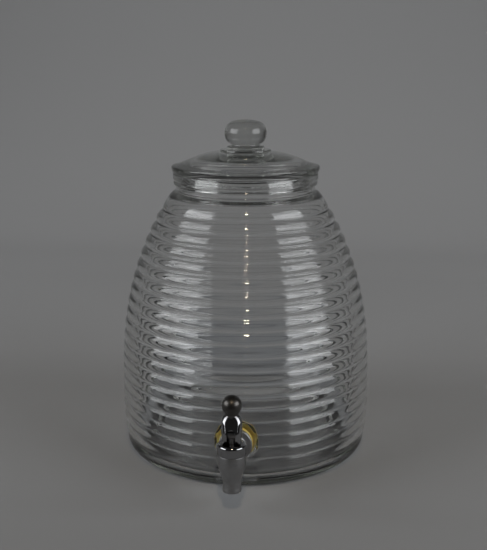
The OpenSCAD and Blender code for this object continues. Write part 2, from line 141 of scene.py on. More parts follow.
def new_finish(name):
    """A material, the Object coordinates of its piece, and a way to set its shader's sockets."""
    material = bpy.data.materials.new(name)
    material.use_nodes = True
    start = Wire(material.node_tree)
    shader = material.node_tree.nodes["Principled BSDF"]

    def shade(**sockets):
        start.feed(shader, {key.replace("_", " "): value for key, value in sockets.items()})

    return material, start.node("ShaderNodeTexCoord")["Object"], shade


glass, place, shade = new_finish("clear_glass")
handled = place.noise(scale=14, detail=4, roughness=0.6).step(0.52, 0.78)
flow = place.noise(scale=22, detail=1)
shade(
    Base_Color=(1, 1, 1, 1),
    Roughness=0.002 + 0.014 * handled,
    Transmission_Weight=1.0,
    IOR=1.5,
    Normal=flow.bump(strength=0.06, distance=0.001),
)
tint = place.node("ShaderNodeVolumeAbsorption", {"Color": (0.829, 0.836, 0.822, 1), "Density": 46})
place.feed(glass.node_tree.nodes["Material Output"], {"Volume": tint})

jar_h = 266.6
belly_r, belly_z = 120, 60
shoulder_r, shoulder_z, lean = 70.5, 250, 2.5
heel_r, heel_h, heel_swell = 116.5, 13, 0.4
foot_r, foot_inner_r = 104.5, 95.5
hollow_r, hollow_h = 86.5, 3
neck_r, neck_z = 66, 250.4
rim_r, mouth_r = 68.2, 61.3
lip_r, lip_z = 66, 245.4
wall, floor_z = 4.4, 7
rib_count, rib_low, rib_high = 19, 17.4, 233.4
rib_depth, rib_extra, inner_rib = 1.6, 0.6, 0.95
tap_z = 46
seat_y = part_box("outer_washer")[1].y * 1000
inner_seat_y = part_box("inner_washer")[0].y * 1000


def valley(z):
    """Radius of the glass in a rib valley at a height."""
    if z < belly_z:
        drop = (belly_r - heel_r) * ((belly_z - z) / belly_z) ** 2
    else:
        drop = (belly_r - shoulder_r) * ((z - belly_z) / (shoulder_z - belly_z)) ** lean
    return belly_r - rib_depth - drop


def quarter(steps):
    """Angles from 0 to a quarter turn."""
    return [math.pi / 2 * k / steps for k in range(steps + 1)]


def bend(a, b, c, d, steps):
    """Points on a curve that leaves a towards b and reaches d from c."""
    points = []
    for i in range(steps + 1):
        t = i / steps
        u = 1 - t
        weights = (u ** 3, 3 * u * u * t, 3 * u * t * t, t ** 3)
        points.append(tuple(sum(w * p[k] for w, p in zip(weights, (a, b, c, d))) for k in (0, 1)))
    return points


def eased(corners, ring=False, steps=5):
    """An outline with rounded corners, from (radius, height, rounding) corners."""
    longest, pull = 0.48, 0.55
    points = []
    count = len(corners)
    for i, (x, y, rounding) in enumerate(corners):
        here = Vector((x, y))
        if rounding == 0 or (not ring and i in (0, count - 1)):
            points.append((x, y))
            continue
        before = Vector(corners[i - 1][:2]) - here
        after = Vector(corners[(i + 1) % count][:2]) - here
        half = before.angle(after) / 2
        back = min(rounding / math.tan(half), before.length * longest, after.length * longest)
        a = here + before.normalized() * back
        b = here + after.normalized() * back
        points += bend(a, a + (here - a) * pull, b + (here - b) * pull, b, steps)
    return points


def marked(points, rib=0, outer=1):
    """Points with their share of the ribs, on the outer (1) or the inner (0) side of the glass."""
    return [(r, z, rib, outer) for r, z in points]


outline = marked(eased([
    (0, hollow_h, 0), (50, hollow_h, 0), (hollow_r, hollow_h, 5), (foot_inner_r, 0, 3), (foot_r - 1, 0, 0),
]))
heel = valley(rib_low) + heel_swell - foot_r
outline += marked([(foot_r + heel * math.sin(a), heel_h * (1 - math.cos(a))) for a in quarter(14)])
rib_pitch = (rib_high - rib_low) / rib_count
outer_rows, inner_rows, crowding = 12, 8, 0.3
for i in range(rib_count * outer_rows):
    turn = 2 * math.pi * i / outer_rows
    z = rib_low + rib_pitch * (turn - crowding * math.sin(turn)) / (2 * math.pi)
    outline += marked([(valley(z), z)], rib=1)
top_r = valley(rib_high) - rib_extra
leave, reach = (top_r, rib_high + 5), (neck_r + 4.4, neck_z - 1)
shoulder = bend((top_r, rib_high), leave, reach, (neck_r + 1, neck_z), 12)
outline += marked(shoulder[:-1] + eased([
    (*shoulder[-1], 0), (neck_r - 0.2, jar_h - 15.4, 2.4), (neck_r - 0.2, jar_h - 11.8, 1.8),
    (rim_r - 0.3, jar_h - 9.6, 1.2), (rim_r - 0.3, jar_h - 7.4, 0.9), (rim_r - 1, jar_h - 6.1, 0.8),
    (rim_r + 0.3, jar_h - 4.6, 1.2), (rim_r + 0.3, jar_h, 0.9),
    (mouth_r, jar_h, 1.3), (mouth_r, lip_z + 0.4, 3), (lip_r, lip_z, 0),
]))
inner_r = valley(rib_high) - wall - inner_rib * rib_extra
inside = bend((lip_r, lip_z), (lip_r + 4, lip_z - 1), (inner_r, rib_high + 4.6), (inner_r, rib_high), 10)
outline += marked(inside[1:-1], outer=0)
for i in range(rib_count * inner_rows):
    z = rib_high - rib_pitch * i / inner_rows
    outline += marked([(valley(z) - wall, z)], inner_rib, outer=0)
low_r = valley(rib_low) - wall
corner = bend((low_r, rib_low), (low_r, rib_low - 4), (low_r - 4, floor_z), (low_r - 8, floor_z), 10)
outline += marked(corner + [(60, floor_z), (0, floor_z)], outer=0)

panel_edge = (7.6, 7.9, 8.2, 8.5, 8.8, 9.1, 9.4, 9.7, 10.1, 10.6, 11.4, 12.4)
front = [0.6 * k for k in range(-12, 13)] + [side * a for side in (-1, 1) for a in panel_edge]
front_end, back_steps = 13.6, 142
back = [front_end + (360 - 2 * front_end) * k / back_steps for k in range(back_steps + 1)]
angles = sorted(front) + back


def quads(rows, ring=False):
    """Loops of corners between neighbouring rows; a row of one corner is a pole."""
    for low, high in zip(rows, rows[1:] + rows[:1] if ring else rows[1:]):
        count = max(len(low), len(high))
        for k in range(count):
            n = (k + 1) % count
            loop = [low[k % len(low)], low[n % len(low)], high[n % len(high)], high[k % len(high)]]
            if len(set(loop)) > 2:
                yield list(dict.fromkeys(loop))


spots, rows = [], []
for r, z, rib, outer in outline:
    columns = angles if r > 0 else [0]
    rows.append(range(len(spots), len(spots) + len(columns)))
    spots += [(math.radians(a), r / 1000, z / 1000, rib, outer) for a in columns]
blank = bpy.data.meshes.new("jar_blank")
blank.from_pydata([spot[:3] for spot in spots], [], list(quads(rows)))
blank.attributes.new("rib", "FLOAT", "POINT").data.foreach_set("value", [spot[3] for spot in spots])
blank.attributes.new("outer", "FLOAT", "POINT").data.foreach_set("value", [spot[4] for spot in spots])


def new_shape(name, sizes):
    """A shape tree with a Geometry socket each way and one named input for each size."""
    tree = bpy.data.node_groups.new(name, "GeometryNodeTree")
    tree.interface.new_socket("Geometry", in_out="OUTPUT", socket_type="NodeSocketGeometry")
    tree.interface.new_socket("Geometry", in_out="INPUT", socket_type="NodeSocketGeometry")
    kinds = {int: "NodeSocketInt", float: "NodeSocketFloat", bpy.types.Material: "NodeSocketMaterial"}
    for key, value in sizes.items():
        tree.interface.new_socket(key, in_out="INPUT", socket_type=kinds[type(value)])
    return tree, Wire(tree, tree.nodes.new("NodeGroupInput").outputs[0])


def end_shape(geometry, finish):
    """The last nodes of a shape tree."""
    smooth = geometry.node("GeometryNodeSetShadeSmooth", {"Geometry": geometry})
    real = geometry.node("GeometryNodeRealizeInstances", {"Geometry": smooth})
    dressed = geometry.node("GeometryNodeSetMaterial", {"Geometry": real, "Material": finish})
    geometry.node("NodeGroupOutput", {"Geometry": dressed})


def baked(piece):
    """Turns a piece's modifiers into plain mesh."""
    finished = piece.evaluated_get(bpy.context.evaluated_depsgraph_get())
    mesh = bpy.data.meshes.new_from_object(finished)
    piece.modifiers.clear()
    piece.data = mesh


def grown(name, mesh, tree, sizes):
    """Runs a shape tree on a mesh and returns the result as a plain piece."""
    piece = bpy.data.objects.new(name, mesh)
    bpy.context.collection.objects.link(piece)
    shape = piece.modifiers.new("shape", "NODES")
    shape.node_group = tree
    for item in tree.interface.items_tree:
        if item.in_out == "INPUT" and item.name in sizes:
            shape[item.identifier] = sizes[item.name]
    baked(piece)
    bpy.data.meshes.remove(mesh)
    return piece


jar_sizes = {
    "Rib count": rib_count,
    "Lowest valley": rib_low / 1000,
    "Highest valley": rib_high / 1000,
    "Rib depth": rib_depth / 1000,
    "Deeper at the top": rib_extra / 1000,
    "Deeper from": 0.1,
    "Valley softness": 0.1,
    "Panel width": 0.037,
    "Panel plane": seat_y / 1000,
    "Panel edge": 0.001,
    "Panel starts": 0.007,
    "Panel is full": 0.012,
    "Tap height": tap_z / 1000,
    "Inner seat radius": 0.018,
    "Inner seat plane": inner_seat_y / 1000,
    "Inner seat edge": 0.0012,
    "Hole diameter": 0.0164,
    "Glass": glass,
}
jar_tree, size = new_shape("ribbed_jar", jar_sizes)
spot = size.node("ShaderNodeSeparateXYZ", {0: size.node("GeometryNodeInputPosition")})
angle, radius, height = spot["X"], spot["Y"], spot["Z"]
rib = size.node("GeometryNodeInputNamedAttribute", {"Name": "rib"}, data_type="FLOAT")["Attribute"]
outer = size.node("GeometryNodeInputNamedAttribute", {"Name": "outer"}, data_type="FLOAT")["Attribute"]
span = (size["Highest valley"] - size["Lowest valley"]) / size["Rib count"]
wave = size.maths("SINE", (height - size["Lowest valley"]) / span * math.pi)
soft = size["Valley softness"]
bulge = (wave * wave + soft * soft) ** 0.5 - soft
full = (1 + soft * soft) ** 0.5 - soft
upper = height.step(size["Deeper from"], size["Highest valley"])
deepest = size["Rib depth"] + size["Deeper at the top"] * upper
radius = radius + rib * (size["Rib depth"] - deepest * (1 - bulge / full))
x = radius * size.maths("SINE", angle)
y = -1 * radius * size.maths("COSINE", angle)
facing = y.step(0, -0.05)
above = size.maths("MAXIMUM", height - size["Tap height"], 0)
past = (x * x + above * above) ** 0.5 - size["Panel width"] / 2
flat = 1 - past.step(-1 * size["Panel edge"], size["Panel edge"])
flat = flat * height.step(size["Panel starts"], size["Panel is full"]) * outer * facing
past = (x * x + (height - size["Tap height"]) ** 2) ** 0.5 - size["Inner seat radius"]
ground = 1 - past.step(-1 * size["Inner seat edge"], size["Inner seat edge"])
ground = ground * (1 - outer) * facing
y = y + flat * (size["Panel plane"] - y) + ground * (size["Inner seat plane"] - y)
moulded = size.node("GeometryNodeSetPosition", {
    "Geometry": size["Geometry"],
    "Position": size.node("ShaderNodeCombineXYZ", {"X": x, "Y": y, "Z": height}),
})
drill = size.node("GeometryNodeMeshCylinder", {
    "Vertices": 72, "Radius": size["Hole diameter"] / 2, "Depth": 0.03,
})
drill = size.node("GeometryNodeTransform", {
    "Geometry": drill,
    "Translation": size.node("ShaderNodeCombineXYZ", {"Y": size["Panel plane"], "Z": size["Tap height"]}),
    "Rotation": (math.pi / 2, 0, 0),
})
drilled = size.node("GeometryNodeMeshBoolean", {"Mesh 1": moulded, "Mesh 2": drill}, operation="DIFFERENCE")
end_shape(drilled, size["Glass"])
jar = grown("ribbed_jar", blank, jar_tree, jar_sizes)
jar.data.set_sharp_from_angle(angle=math.radians(55))
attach(jar, "jar")
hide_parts("glass_jar")


# Glass lid: pressed in one piece with its ball knob, with a ring below that drops into the
# mouth. It lies loose on the rim.
def made(name, shape, sharp=40):
    """Puts a finished shape into the scene as a piece with outward faces."""
    bmesh.ops.recalc_face_normals(shape, faces=shape.faces)
    mesh = bpy.data.meshes.new(name)
    shape.to_mesh(mesh)
    shape.free()
    mesh.shade_smooth()
    mesh.set_sharp_from_angle(angle=math.radians(sharp))
    piece = bpy.data.objects.new(name, mesh)
    bpy.context.collection.objects.link(piece)
    return piece


def turned(name, outline, along="Z", at=(0, 0, 0), steps=96, sharp=40):
    """A lathe-turned piece from (radius, height) points; it is a ring if they stay off the axis."""
    shape = bmesh.new()
    rows = []
    for r, h in outline:
        row = []
        for k in range(steps if r > 0 else 1):
            angle = 2 * math.pi * k / steps
            a, b = r * math.cos(angle), r * math.sin(angle)
            spot = {"X": (h, a, b), "Y": (a, h, b), "Z": (a, b, h)}[along]
            row.append(shape.verts.new((Vector(spot) + Vector(at)) / 1000))
        rows.append(row)
    for loop in quads(rows, ring=outline[0][0] > 0 and outline[-1][0] > 0):
        shape.faces.new(loop)
    return made(name, shape, sharp)


def fitted(piece, finish, slot, body, *nodes):
    """Dresses a piece, lets it ride on its body and stand for its CAD nodes."""
    piece.data.materials.clear()
    piece.data.materials.append(finish)
    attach(piece, body)
    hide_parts(*nodes)


lid_edge_r, lid_gap = 69.7, 0.2
plug_r, plug_h, lid_hollow_r = 60.3, 9, 55.5
lid_edge, lid_crown = (65, 8), (24.6, 20.2)
collar_r, collar_h = 24, 22
knob_r, knob_h, knob_power, knob_steps = 19.7, 24.7, 2.6, 40
stalk_r, stalk_h = 13, 26.4
outline = bend((0, 13.6), (25, 13.6), (47.2, 11.6), (lid_hollow_r - 0.2, 3.4), 16)[:-1]
outline += eased([
    (*outline[-1], 0), (lid_hollow_r, 2.4, 2), (lid_hollow_r, -plug_h, 1.6), (plug_r, -plug_h, 1.6),
    (plug_r, lid_gap, 0.6), (lid_edge_r - 1.6, lid_gap, 0.7), (lid_edge_r, 4.4, 2), (lid_edge_r, 7, 1.4),
    (*lid_edge, 0),
])[1:]
outline += bend(lid_edge, (54.4, 11.2), (45.3, 18.2), lid_crown, 16)[1:]
outline += eased([
    (*lid_crown, 0), (collar_r, 20.4, 0.3), (collar_r, collar_h, 0.9), (17, collar_h, 0.5), (17.8, 23.7, 1.6),
    (16.6, stalk_h - 1, 1.2), (stalk_r, stalk_h - 1, 0.6), (stalk_r, stalk_h, 0),
])[1:-1]
sunk = (1 - (stalk_r / knob_r) ** knob_power) ** (1 / knob_power)
knob_z = stalk_h + knob_h / 2 * sunk
for i in range(knob_steps):
    a = math.acos(sunk) + (math.pi - math.acos(sunk)) * i / knob_steps
    rise = -math.cos(a)
    r = knob_r * (1 - abs(rise) ** knob_power) ** (1 / knob_power)
    outline.append((r, knob_z + knob_h / 2 * rise))
outline.append((0, knob_z + knob_h / 2))
lid = turned("lid", outline, at=(0, 0, jar_h), steps=144, sharp=60)
fitted(lid, glass, "clear_glass", "lid", "glass_lid")


# Washers: two soft silicone rings, yellowed with age, that seal the hole on both sides of the
# glass. The tap's flange presses one and the nut the other.
silicone, place, shade = new_finish("aged_silicone")
patch = place.noise(scale=160, detail=3).step(0.35, 0.7)
fine = place.noise(scale=2600, detail=2)
shade(
    Base_Color=patch.blend((0.9, 0.68, 0.12, 1), (0.95, 0.82, 0.32, 1)),
    Roughness=0.36 + 0.16 * fine,
    Subsurface_Weight=0.35,
    Subsurface_Radius=(0.004, 0.003, 0.001),
    Subsurface_Scale=0.4,
    Transmission_Weight=0.25,
    IOR=1.42,
    Normal=fine.bump(strength=0.12, distance=0.0002),
)
washer_hole_r, washer_swell = 8.1, 0.3


def washer(name, y0, y1, radius, node):
    """A ring with rounded rims that swells a little at its edge."""
    side_r = radius - washer_swell
    ring = eased([
        (washer_hole_r, y0, 0.4), (side_r, y0, 0.9), (radius, (y0 + y1) / 2, 2), (side_r, y1, 0.9),
        (washer_hole_r, y1, 0.4),
    ], ring=True)
    fitted(turned(name, ring, "Y", (0, 0, tap_z)), silicone, "aged_silicone", "jar", node)


nut_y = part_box("inner_washer")[1].y * 1000
flange_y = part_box("outer_washer")[0].y * 1000
washer("outer_seal", flange_y, seat_y, radius=14.9, node="outer_washer")
washer("inner_seal", inner_seat_y, nut_y, radius=17, node="inner_washer")


# Tap body: a die-cast barrel with a tapered spout, and a side arm that ends in a flange and a
# threaded shank. It is blasted and satin plated, and the shank goes through the glass. Its
# thread is a coil of its own. Places along the arm are measured from the barrel's axis.
satin, place, shade = new_finish("satin_metal")
blast = place.noise(scale=5200, detail=2)
lines = place.node("ShaderNodeMapping", {"Vector": place, "Scale": (1, 1, 0.12)}).noise(scale=900, detail=3)
dull = place.noise(scale=90, detail=4).step(0.4, 0.75)
shade(
    Base_Color=dull.blend((0.34, 0.34, 0.345, 1), (0.27, 0.27, 0.27, 1)),
    Metallic=1.0,
    Roughness=0.3 + 0.1 * lines + 0.06 * dull,
    Normal=(0.6 * blast + 0.4 * lines).bump(strength=0.06, distance=0.0001),
)


def rod(r, low, high, rounding=0):
    """The outline of a plain round bar."""
    return eased([(0, low, 0), (r, low, rounding), (r, high, rounding), (0, high, 0)])


def worked(piece, tool, how):
    """Joins a second shape to a piece, or cuts with it, and takes the second shape away."""
    step = piece.modifiers.new(how, "BOOLEAN")
    step.operation = how
    step.solver = "EXACT"
    step.object = tool
    baked(piece)
    bpy.data.objects.remove(tool)


hinge = next(joint for joint in frame["joints"] if joint["name"] == "lever_tilt")
tap_y, pin_z = [1000 * metres for metres in hinge["pos_m"][1:]]
spout_z, valve_seat_z, cap_land_z, barrel_top_z = 21.5, 41, 54.3, 60.5
taper_low_z, taper_high_z = 30, 47.4
spout_r, spout_lip_r, barrel_r, screw_r = 7.7, 8, 11.7, 9.9
outlet_r, chamber_r, waterway_r, past_end = 5.8, 8.6, 4.8, 1.5
arm_r, arm_waist_r, shank_r, thread_root_r = 9.8, 7.8, 7.9, 7.25
flange_r, flange_t = 14.5, 3.5
flange_back = flange_y - tap_y
flange_face = flange_back - flange_t
glass_face = seat_y - tap_y
shank_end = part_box("tap_body")[1].y * 1000 - tap_y
outline = eased([
    (0, spout_z, 0), (spout_lip_r, spout_z, 0.7), (spout_lip_r, 23.6, 1.6), (spout_r, 25.6, 2),
    (spout_r, taper_low_z, 0),
])
outline += bend((spout_r, taper_low_z), (spout_r, 35.4), (barrel_r, 40.2), (barrel_r, taper_high_z), 24)[1:]
outline += eased([
    (barrel_r, taper_high_z + 0.6, 0), (barrel_r, cap_land_z, 0.4), (screw_r, cap_land_z + 0.1, 0),
    (screw_r, barrel_top_z, 0.4), (0, barrel_top_z, 0),
])
body = turned("tap_body", outline, at=(0, tap_y, 0))
arm = eased([
    (0, 2, 0), (arm_r, 2, 0), (arm_r, 10.6, 1), (arm_waist_r, 15, 6), (arm_waist_r, flange_face, 3.6),
    (flange_r, flange_face, 1.3), (flange_r, flange_back, 0.4), (shank_r, flange_back, 0),
    (shank_r, glass_face, 0.4), (thread_root_r, glass_face + 0.6, 0), (thread_root_r, shank_end, 0.8),
    (0, shank_end, 0),
], steps=8)
worked(body, turned("arm", arm, "Y", (0, tap_y, tap_z)), "UNION")
bore = [
    (0, spout_z - past_end), (outlet_r, spout_z - past_end), (outlet_r, valve_seat_z - 1),
    (outlet_r + 1, valve_seat_z), (chamber_r, valve_seat_z), (chamber_r, barrel_top_z + past_end),
    (0, barrel_top_z + past_end),
]
worked(body, turned("bore", bore, at=(0, tap_y, 0)), "DIFFERENCE")
waterway = rod(waterway_r, 1, shank_end + past_end)
worked(body, turned("waterway", waterway, "Y", (0, tap_y, tap_z)), "DIFFERENCE")
body.data.shade_smooth()
body.data.set_sharp_from_angle(angle=math.radians(35))
fitted(body, satin, "satin_metal", "jar", "tap_body")

thread_sizes = {
    "Turns": 10.0,
    "Radius": 0.00722,
    "Length": (shank_end - glass_face - 3) / 1000,
    "Closed ends": 0.0,
    "Wire radius": 0.00066,
    "Wire sides": 4,
    "Steps in a turn": 40,
    "Tilt": -math.pi / 2,
    "Start y": (seat_y + 1.6) / 1000,
    "Start z": tap_z / 1000,
    "Finish": satin,
}
coil_tree, size = new_shape("coil", thread_sizes)
path = size.node("GeometryNodeCurveSpiral", {
    "Resolution": size["Steps in a turn"], "Rotations": size["Turns"],
    "Start Radius": size["Radius"], "End Radius": size["Radius"], "Height": 1,
})
spot = size.node("ShaderNodeSeparateXYZ", {0: size.node("GeometryNodeInputPosition")})
close = size.maths("SINE", spot["Z"] * (2 * math.pi)) * size["Closed ends"] / (2 * math.pi)
along = (spot["Z"] - close) * size["Length"]
path = size.node("GeometryNodeSetPosition", {
    "Geometry": path,
    "Position": size.node("ShaderNodeCombineXYZ", {"X": spot["X"], "Y": spot["Y"], "Z": along}),
})
section = size.node("GeometryNodeCurvePrimitiveCircle", {
    "Resolution": size["Wire sides"], "Radius": size["Wire radius"],
})
coil = size.node("GeometryNodeCurveToMesh", {"Curve": path, "Profile Curve": section, "Fill Caps": True})
coil = size.node("GeometryNodeTransform", {
    "Geometry": coil,
    "Translation": size.node("ShaderNodeCombineXYZ", {"Y": size["Start y"], "Z": size["Start z"]}),
    "Rotation": size.node("ShaderNodeCombineXYZ", {"X": size["Tilt"]}),
})
end_shape(coil, size["Finish"])
thread = grown("shank_thread", bpy.data.meshes.new("thread_blank"), coil_tree, thread_sizes)
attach(thread, "jar")


# Lock nut: a hexagon nut moulded in white plastic, with its corners turned off at both ends. It
# is screwed hand-tight on the shank inside the jar.
plastic, place, shade = new_finish("white_plastic")
cloud = place.noise(scale=120, detail=3)
grain = place.noise(scale=3800, detail=2)
shade(
    Base_Color=cloud.blend((0.8, 0.8, 0.77, 1), (0.72, 0.72, 0.68, 1)),
    Roughness=0.42 + 0.12 * grain,
    Subsurface_Weight=0.15,
    Subsurface_Radius=(0.002, 0.002, 0.002),
    Subsurface_Scale=0.3,
    Normal=grain.bump(strength=0.1, distance=0.0001),
)


def softened(piece, width):
    """Rounds a piece's sharp edges and evens out its shading."""
    edge = piece.modifiers.new("edge", "BEVEL")
    edge.width = width / 1000
    edge.segments = 3
    edge.limit_method = "ANGLE"
    edge.angle_limit = math.radians(35)
    edge.use_clamp_overlap = True
    baked(piece)
    piece.data.shade_smooth()
    even = piece.modifiers.new("even", "WEIGHTED_NORMAL")
    even.keep_sharp = True
    even.weight = 60
    baked(piece)


nut_flat_r, nut_bore_r, nut_barrel_r, nut_t = 12.5, 8, 15.6, 8
nut_corner_r = nut_flat_r / math.cos(math.pi / 6)
turn = [math.pi / 3 * k for k in range(6)]
hexagon = bmesh.new()
ends = []
for y in (nut_y, nut_y + nut_t):
    corners = [(nut_corner_r * math.cos(a), y, tap_z + nut_corner_r * math.sin(a)) for a in turn]
    ends.append([hexagon.verts.new(Vector(corner) / 1000) for corner in corners])
    hexagon.faces.new(ends[-1])
for loop in quads(ends):
    hexagon.faces.new(loop)
nut = made("lock_nut", hexagon)
barrel = [
    (nut_bore_r, 0), (13.2, 0), (nut_barrel_r, 1.4), (nut_barrel_r, 5.8), (12.2, nut_t), (nut_bore_r, nut_t),
]
worked(nut, turned("barrel", barrel, "Y", (0, nut_y, tap_z), 120), "INTERSECT")
softened(nut, 0.4)
fitted(nut, plastic, "white_plastic", "jar", "lock_nut")


# Valve plug and gasket: soft milky silicone. The plug sits on the foot of the stem and closes
# the outlet; the gasket seals the cap on the barrel.
milky, place, shade = new_finish("clear_silicone")
fine = place.noise(scale=2400, detail=2)
shade(
    Base_Color=place.noise(scale=200, detail=2).blend((0.8, 0.79, 0.74, 1), (0.74, 0.73, 0.66, 1)),
    Roughness=0.38 + 0.14 * fine,
    Subsurface_Weight=0.3,
    Subsurface_Radius=(0.003, 0.003, 0.002),
    Subsurface_Scale=0.3,
    IOR=1.42,
    Normal=fine.bump(strength=0.1, distance=0.0002),
)
stem_r, stem_z, stem_gap = 2.6, 42.4, 0.02
valve_r, valve_rim_r, valve_t = 7.7, 6.9, 3.2
sleeve_r, sleeve_top_z = 4.4, 50
plug = eased([
    (0, valve_seat_z, 0), (valve_rim_r, valve_seat_z, 0.4), (valve_r, valve_seat_z + 0.8, 0.8),
    (valve_r, valve_seat_z + valve_t - 0.8, 0.8), (valve_rim_r, valve_seat_z + valve_t, 0.6),
    (sleeve_r, valve_seat_z + valve_t, 0.8), (sleeve_r, sleeve_top_z, 0.5),
    (stem_r + stem_gap, sleeve_top_z, 0), (stem_r + stem_gap, stem_z, 0), (0, stem_z, 0),
])
fitted(turned("valve_plug", plug, at=(0, tap_y, 0)), milky, "clear_silicone", "stem", "valve_plug")
gasket_r, cap_roof_z = 10.4, 61.5
gasket = eased([
    (chamber_r, barrel_top_z, 0.2), (gasket_r, barrel_top_z, 0.3), (gasket_r, cap_roof_z, 0.3),
    (chamber_r, cap_roof_z, 0.2),
], ring=True, steps=3)
fitted(turned("cap_gasket", gasket, at=(0, tap_y, 0)), milky, "clear_silicone", "jar", "cap_gasket")


# Valve stem: a turned, satin-plated rod with an eye across its top for the lever's pin and a
# collar for the spring. It slides up through the cap and carries the plug on its foot.
stem_top_z = 70
spring_collar_r, collar_low_z, collar_high_z = 5.6, 50.5, 52.5
seal_z, groove_r, groove_half = 57.45, 1.48, 0.7
groove_low_z, groove_high_z = seal_z - groove_half, seal_z + groove_half
eye_r, eye_half, pin_r, pin_gap = 3.6, 3.2, 1.5, 0.05
outline = eased([
    (0, stem_z, 0), (stem_r, stem_z, 0.3), (stem_r, collar_low_z, 0), (spring_collar_r, collar_low_z, 0.4),
    (spring_collar_r, collar_high_z, 0.4), (stem_r, collar_high_z, 0), (stem_r, groove_low_z, 0.1),
    (groove_r, groove_low_z, 0.1), (groove_r, groove_high_z, 0.1), (stem_r, groove_high_z, 0.1),
    (stem_r, stem_top_z, 0), (0, stem_top_z, 0),
], steps=3)
stem = turned("valve_stem", outline, at=(0, tap_y, 0), steps=64)
eye = rod(eye_r, -eye_half, eye_half, 0.6)
worked(stem, turned("eye", eye, "X", (0, tap_y, pin_z), 72), "UNION")
eye_hole = rod(pin_r + pin_gap, -eye_half - past_end, eye_half + past_end)
worked(stem, turned("eye_hole", eye_hole, "X", (0, tap_y, pin_z), 48), "DIFFERENCE")
stem.data.shade_smooth()
stem.data.set_sharp_from_angle(angle=math.radians(35))
fitted(stem, satin, "satin_metal", "stem", "valve_stem")


# Ring seal: a moulded ring of black rubber that is rolled into the stem's groove, where it
# keeps the cap's bore tight.
rubber, place, shade = new_finish("black_rubber")
bloom = place.noise(scale=900, detail=3)
shade(
    Base_Color=bloom.blend((0.025, 0.025, 0.025, 1), (0.045, 0.045, 0.043, 1)),
    Roughness=0.45 + 0.2 * bloom,
    Normal=bloom.bump(strength=0.1, distance=0.0001),
)
seal_r, seal_wire_r = 2.075, 0.575
turn = [math.pi * k / 12 for k in range(24)]
ring = [(seal_r + seal_wire_r * math.cos(a), seal_z + seal_wire_r * math.sin(a)) for a in turn]
fitted(turned("stem_o_ring", ring, at=(0, tap_y, 0), steps=64), rubber, "black_rubber", "stem", "stem_o_ring")


# Return spring: stainless wire coiled with closed ends. It sits round the cap's guide sleeve
# and presses the stem's collar down. It is drawn here at one length, though the real spring
# shortens as the valve opens.
steel, place, shade = new_finish("steel")
drawn = place.noise(scale=1400, detail=2)
shade(
    Base_Color=drawn.blend((0.6, 0.6, 0.61, 1), (0.5, 0.5, 0.5, 1)),
    Metallic=1.0,
    Roughness=0.2 + 0.14 * drawn,
    Normal=drawn.bump(strength=0.08, distance=0.0001),
)
spring_sizes = {
    "Turns": 5.0,
    "Radius": 0.0048,
    "Length": 0.00816,
    "Closed ends": 0.42,
    "Wire radius": 0.0004,
    "Wire sides": 12,
    "Steps in a turn": 48,
    "Tilt": 0.0,
    "Start y": tap_y / 1000,
    "Start z": 0.05292,
    "Finish": steel,
}
spring = grown("return_spring", bpy.data.meshes.new("spring_blank"), coil_tree, spring_sizes)
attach(spring, "jar")
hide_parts("return_spring")
tap_y / 1000
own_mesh(spring)


# Tap cap: turned brass, polished and chrome plated, screwed down on the barrel. Its sleeve
# guides the stem, and its flat top is what the lever's foot rolls on.
chrome, place, shade = new_finish("bright_chrome")
smear = place.noise(scale=160, detail=4, roughness=0.6).step(0.45, 0.8)
grip = place.node("ShaderNodeSeparateXYZ", {0: place})["Z"].step(0.085, 0.09)
stretch = place.node("ShaderNodeMapping", {"Vector": place, "Scale": (1, 1, 0.05)})
hairline = stretch.noise(scale=2400, detail=2)
peel = place.noise(scale=420, detail=1)
bright = smear.blend((0.31, 0.31, 0.32, 1), (0.26, 0.26, 0.26, 1))
shade(
    Base_Color=grip.blend(bright, (0.085, 0.08, 0.075, 1)),
    Metallic=1.0,
    Roughness=0.035 + 0.05 * smear + 0.03 * hairline + 0.32 * grip,
    Coat_Weight=0.3 * grip,
    Coat_Roughness=0.05,
    Normal=(0.8 * peel + 0.2 * hairline).bump(strength=0.03, distance=0.0002),
)
cap_r, cap_bore_r, cap_low_z, cap_top_z = 12.1, 10.5, 54.5, 64
guide_r, guide_bore_r, guide_low_z = 4, 2.7, 56.3
cap = eased([
    (cap_bore_r, cap_low_z, 0.2), (cap_r, cap_low_z, 0.4), (cap_r, cap_top_z, 2.4),
    (guide_bore_r, cap_top_z, 0.4), (guide_bore_r, guide_low_z, 0.2), (guide_r, guide_low_z, 0.2),
    (guide_r, cap_roof_z, 0.3), (cap_bore_r, cap_roof_z, 0.2),
], ring=True, steps=8)
fitted(turned("tap_cap", cap, at=(0, tap_y, 0), steps=128), chrome, "bright_chrome", "jar", "tap_cap")


# Lever: die-cast, polished and chrome plated. A fork straddles the stem's eye, its foot is a
# cam that lifts the stem as the lever is tipped forward, and the ball is the grip. Heights are
# measured from the pin; a level has its share of the fork's width and of its depth.
fork_half, fork_front, fork_back = 8.6, 9.7, 7.5
taper_z, shoulder_low_z, fork_top_z, neck_low_z = 4, 11, 18, 20.6
lever_neck_r, ball_r, ball_z = 5.4, 8.3, 26.2
squareness, lean_back, merging = 0.8, 1.15, 6
pinch, pinch_z, pinch_h = 0.12, 6, 13
fork_steps, sides = 28, 72
levels = [(1, 1, z) for z in (-12, -8, -4, 0, 2, taper_z)]
for k in range(1, fork_steps + 1):
    z = taper_z + (fork_top_z - taper_z) * k / fork_steps
    wide = 1 - (max(0, z - shoulder_low_z) / (fork_top_z - shoulder_low_z)) ** 2
    levels.append((wide, max(0, min(wide, 1 - lean_back * k / fork_steps)), z))
ball_top_z = ball_z + 0.999 * ball_r
levels += [(0, 0, neck_low_z + (ball_top_z - neck_low_z) * math.sin(a)) for a in quarter(26)]
shape = bmesh.new()
rows = []
